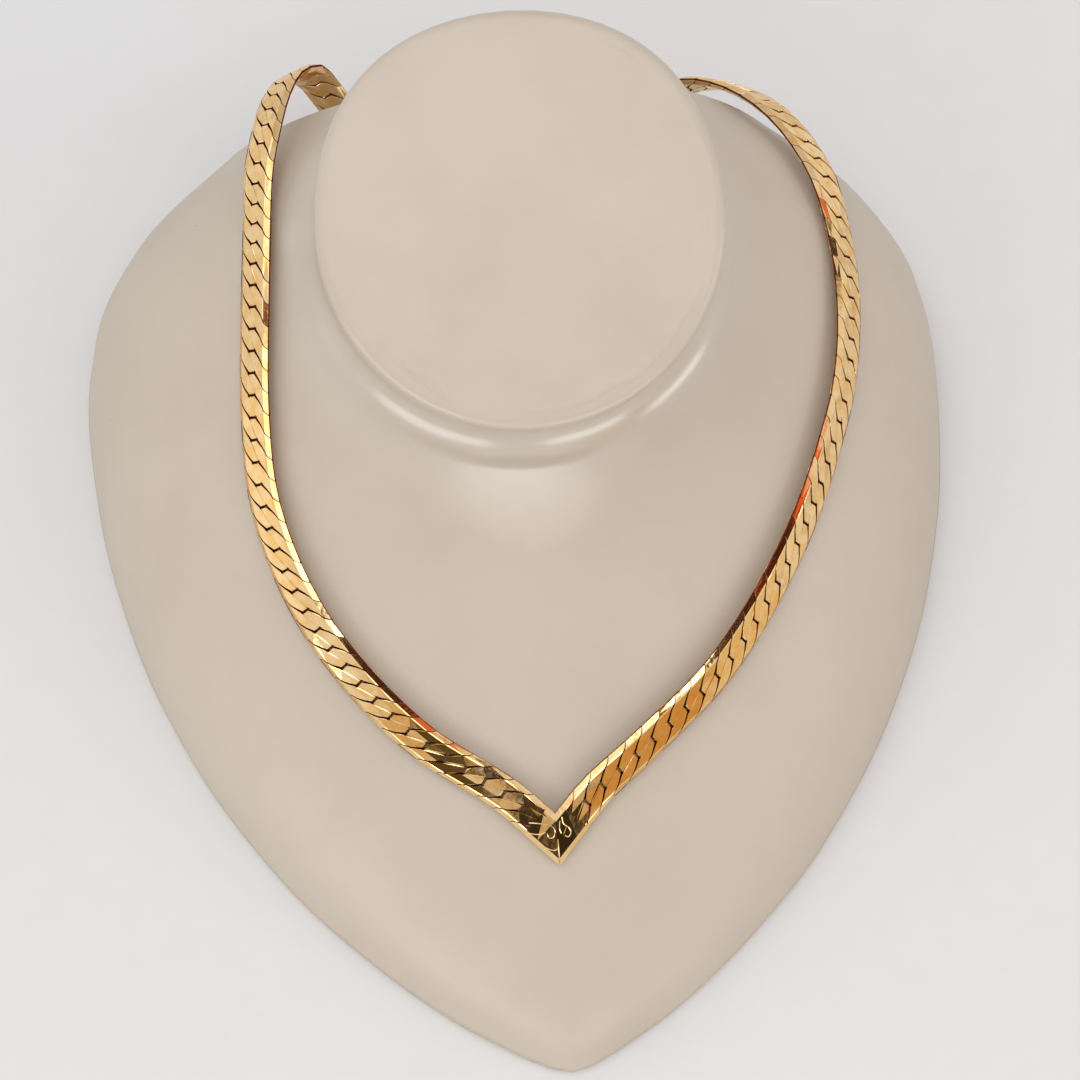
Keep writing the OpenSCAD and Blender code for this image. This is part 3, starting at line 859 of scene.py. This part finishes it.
def makeGold():
    material, tree, shader, place = newMaterial("gold", Specular_IOR_Level=0.0)
    depth = addNode(tree, "ShaderNodeAttribute", {"attribute_name": "depth"}, out="Fac")
    # painted shade: deep in the grooves and over the sunk core the gold turns dark maroon, non-metallic and
    # rougher, standing in for the shade there
    paintedShade = fade(depth, 0.02, 0.35)
    patches = noise(tree, place, goldLook["patch"], 3)
    colour = mixColours(tree, fade(patches, 0.35, 0.7), goldLook["bright"], goldLook["warm"])
    feed(shader, "Base Color", mixColours(tree, paintedShade, colour, goldLook["grooveShade"]))
    feed(shader, "Metallic", 1 - paintedShade)
    feed(shader, "Roughness",
         goldLook["roughness"] + patches * goldLook["patchRough"] + paintedShade * goldLook["grooveRough"])
    dents = noise(tree, place, goldLook["dent"], 1)
    dented = addNode(tree, "ShaderNodeBump", {}, {
        "Strength": 1, "Distance": goldLook["dentDepth"], "Height": dents}, "Normal")
    scratches = noise(tree, addNode(tree, "ShaderNodeMapping", {}, {
        "Vector": place, "Rotation": (0.3, 0.2, 0.6), "Scale": (1, 0.08, 1)}), goldLook["scratch"], 1)
    fine = addNode(tree, "ShaderNodeBump", {}, {
        "Strength": 1, "Distance": goldLook["scratchDepth"], "Height": scratches, "Normal": dented}, "Normal")
    feed(shader, "Normal", fine)
    return material


coverLook = {
    "colour": (0.515, 0.447, 0.371, 1), "shade": (0.49, 0.422, 0.347, 1), "speck": (0.12, 0.09, 0.06, 1),
    "blotch": 0.012, "grain": 0.0006, "grainDepth": 0.000012, "speckSpread": 0.024, "speckSize": 0.006,
}


def makeLeatherette():
    material, tree, shader, place = newMaterial("leatherette", Coat_Roughness=0.2, Coat_IOR=1.8)
    blotches = noise(tree, place, coverLook["blotch"], 4, 0.6)
    colour = mixColours(tree, fade(blotches, 0.3, 0.75), coverLook["colour"], coverLook["shade"])
    specks = addNode(tree, "ShaderNodeTexVoronoi", {}, {
        "Vector": place, "Scale": 1 / coverLook["speckSpread"]}, "Distance")
    speck = 1 - fade(specks, coverLook["speckSize"], coverLook["speckSize"] * 1.6)
    feed(shader, "Base Color", mixColours(tree, speck * 0.7, colour, coverLook["speck"]))
    pores = addNode(tree, "ShaderNodeTexVoronoi", {}, {
        "Vector": place, "Scale": 1 / coverLook["grain"]}, "Distance")
    feed(shader, "Roughness", 0.44 + blotches * 0.1)
    tight = addNode(tree, "ShaderNodeAttribute", {"attribute_name": "tight"}, out="Fac")
    feed(shader, "Coat Weight", 0.04 + tight * (1 - fade(blotches, 0.3, 0.8) * 0.35))
    creases = noise(tree, place, 0.0025, 3, 0.6)
    feed(shader, "Normal", addNode(tree, "ShaderNodeBump", {}, {
        "Strength": 1, "Distance": coverLook["grainDepth"], "Height": fade(pores, 0, 0.75) + creases * 1.5},
        "Normal"))
    return material


floorLook = {
    "light": (0.705, 0.712, 0.72, 1), "shade": (0.68, 0.682, 0.69, 1), "fibre": 0.004, "fibreDepth": 0.00002,
}


def makeFloorPaper():
    material, tree, shader, place = newMaterial("floorPaper", Roughness=0.9, Specular_IOR_Level=0.1)
    fibres = noise(tree, place, floorLook["fibre"], 4, 0.7)
    feed(shader, "Base Color", mixColours(tree, fibres, floorLook["shade"], floorLook["light"]))
    feed(shader, "Normal", addNode(tree, "ShaderNodeBump", {}, {
        "Strength": 1, "Distance": floorLook["fibreDepth"], "Height": fibres}, "Normal"))
    return material


gold = makeGold()
coverStuff = makeLeatherette()
floorStuff = makeFloorPaper()

for piece, stuff, nodeName, slotName in (
        (leftArm, gold, "chain_left", "gold"), (rightArm, gold, "chain_right", "gold"),
        (centrePiece, gold, "v_centre", "gold"), (claspPiece, gold, "clasp", "gold"),
        (cover, coverStuff, "bust", "cover")):
    piece.data.materials.clear()
    piece.data.materials.append(stuff)
    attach(piece, "root")
    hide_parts(nodeName)
print("materials made")


# floor, light and camera
bpy.ops.mesh.primitive_plane_add(size=6, location=(0, 0, 0))
floor = bpy.context.view_layer.objects.active
floor.name = "floor"
floor.data.materials.append(floorStuff)

view = {"elevation": 70, "yaw": 2.9, "roll": 4.0, "distance": 700, "acrossAtTarget": 194.4,
        "target": (0.4, 88.75 - route["middleFromTip"], 40)}


def makeCamera():
    e, yaw, roll = (math.radians(view[key]) for key in ("elevation", "yaw", "roll"))
    lookBack = Vector((0, -math.cos(e), math.sin(e)))
    upward = Vector((0, math.sin(e), math.cos(e)))
    side = Vector((1, 0, 0))
    back = math.cos(yaw) * lookBack - math.sin(yaw) * side
    right0 = math.cos(yaw) * side + math.sin(yaw) * lookBack
    up = math.cos(roll) * upward + math.sin(roll) * right0
    right = math.cos(roll) * right0 - math.sin(roll) * upward
    place = (Vector(view["target"]) + view["distance"] * back) * mm
    camera = bpy.data.objects.new("camera", bpy.data.cameras.new("camera"))
    bpy.context.collection.objects.link(camera)
    camera.data.sensor_width = 36
    camera.data.lens = 36 * view["distance"] / view["acrossAtTarget"]
    camera.data.clip_start = 0.01
    camera.matrix_world = Matrix((
        (right.x, up.x, back.x, place.x), (right.y, up.y, back.y, place.y),
        (right.z, up.z, back.z, place.z), (0, 0, 0, 1)))
    scene.camera = camera


makeCamera()

# the studio round the form: its soft spots are what gives the gold its dark, red
# and orange stretches; azimuth from the rear wall's side towards the right, elevation, radius,
# softness, colour
studio = {
    "air": (0.86, 0.87, 0.885, 1),
    "spots": [
        (0, 33, 30, 12, (0.62, 0.62, 0.63)),
        (180, 55, 14.5, 2.5, (0.035, 0.028, 0.016)),
        (157, 51, 8, 2, (0.035, 0.028, 0.016)),
        (-95, 18, 14, 4, (1.05, 1.03, 0.98)),
        (132, 22, 12, 4, (0.6, 0.37, 0.15)),
        (141, 31, 14, 3, (0.62, 0.38, 0.15)),
        (117, 12, 10, 4, (0.8, 0.68, 0.48)),
        (180, 81, 12, 3, (4, 3.95, 3.9)),
        (84, 71, 10.8, 1.2, (0.8, 0.15, 0.05)),
        (47, 70, 4.5, 1.5, (0.7, 0.2, 0.08)),
        (84, 75, 9.2, 1.2, (0.06, 0.018, 0.01)),
        (-15, 84.5, 4.3, 1, (0.2, 0.07, 0.03)),
        (42, 56, 3.5, 1.5, (0.05, 0.02, 0.01)),
        (-137, 83, 7, 2, (1.8, 1.75, 1.65)),
        (-60, 66, 12, 3, (1.5, 1.45, 1.35)),
        (-140, 44, 13, 4, (0.7, 0.55, 0.36)),
        (-144, 47, 6, 2, (0.1, 0.075, 0.03)),
    ],
    # light panels beside the form: azimuth, elevation, width, height, distance, brightness
    "panels": [
        (-34, 51, 0.7, 0.7, 1.15, 0.8), (0, 90, 1.4, 1.4, 1.3, 0.3), (-141, 17, 0.88, 0.32, 1, 2.7),
        (154, 12, 0.58, 0.25, 1, 2.7), (112, 31, 0.42, 0.2, 1, 3.6)],
}


def wayTo(azimuth, elevation):
    a, e = math.radians(azimuth), math.radians(elevation)
    return Vector((math.sin(a) * math.cos(e), math.cos(a) * math.cos(e), math.sin(e)))


def makeStudio():
    world = scene.world or bpy.data.worlds.new("studio")
    scene.world = world
    world.use_nodes = True
    tree = world.node_tree
    direction = addNode(tree, "ShaderNodeTexCoord", out="Generated")
    light = studio["air"]
    for azimuth, elevation, radius, soft, colour in studio["spots"]:
        nearness = addNode(tree, "ShaderNodeVectorMath", {"operation": "DOT_PRODUCT"}, {
            0: direction, 1: wayTo(azimuth, elevation)}, "Value")
        near = fade(nearness, math.cos(math.radians(radius + soft)), math.cos(math.radians(radius - soft)))
        light = mixColours(tree, near, light, (*colour, 1))
    background = tree.nodes["Background"]
    feed(background, "Color", light)
    background.inputs["Strength"].default_value = 1
    for azimuth, elevation, width, height, distance, brightness in studio["panels"]:
        panel = bpy.data.lights.new("panel", "AREA")
        panel.shape = "RECTANGLE"
        panel.size, panel.size_y = width, height
        panel.energy = brightness * math.pi * width * height
        holder = bpy.data.objects.new("panel", panel)
        bpy.context.collection.objects.link(holder)
        holder.location = wayTo(azimuth, elevation) * distance
        holder.rotation_euler = wayTo(azimuth, elevation).to_track_quat("Z", "Y").to_euler()
        holder.visible_camera = False
        # the light overhead only fills the shadows and isn't mirrored in the gold
        holder.visible_glossy = elevation < 90


makeStudio()
print("studio made")
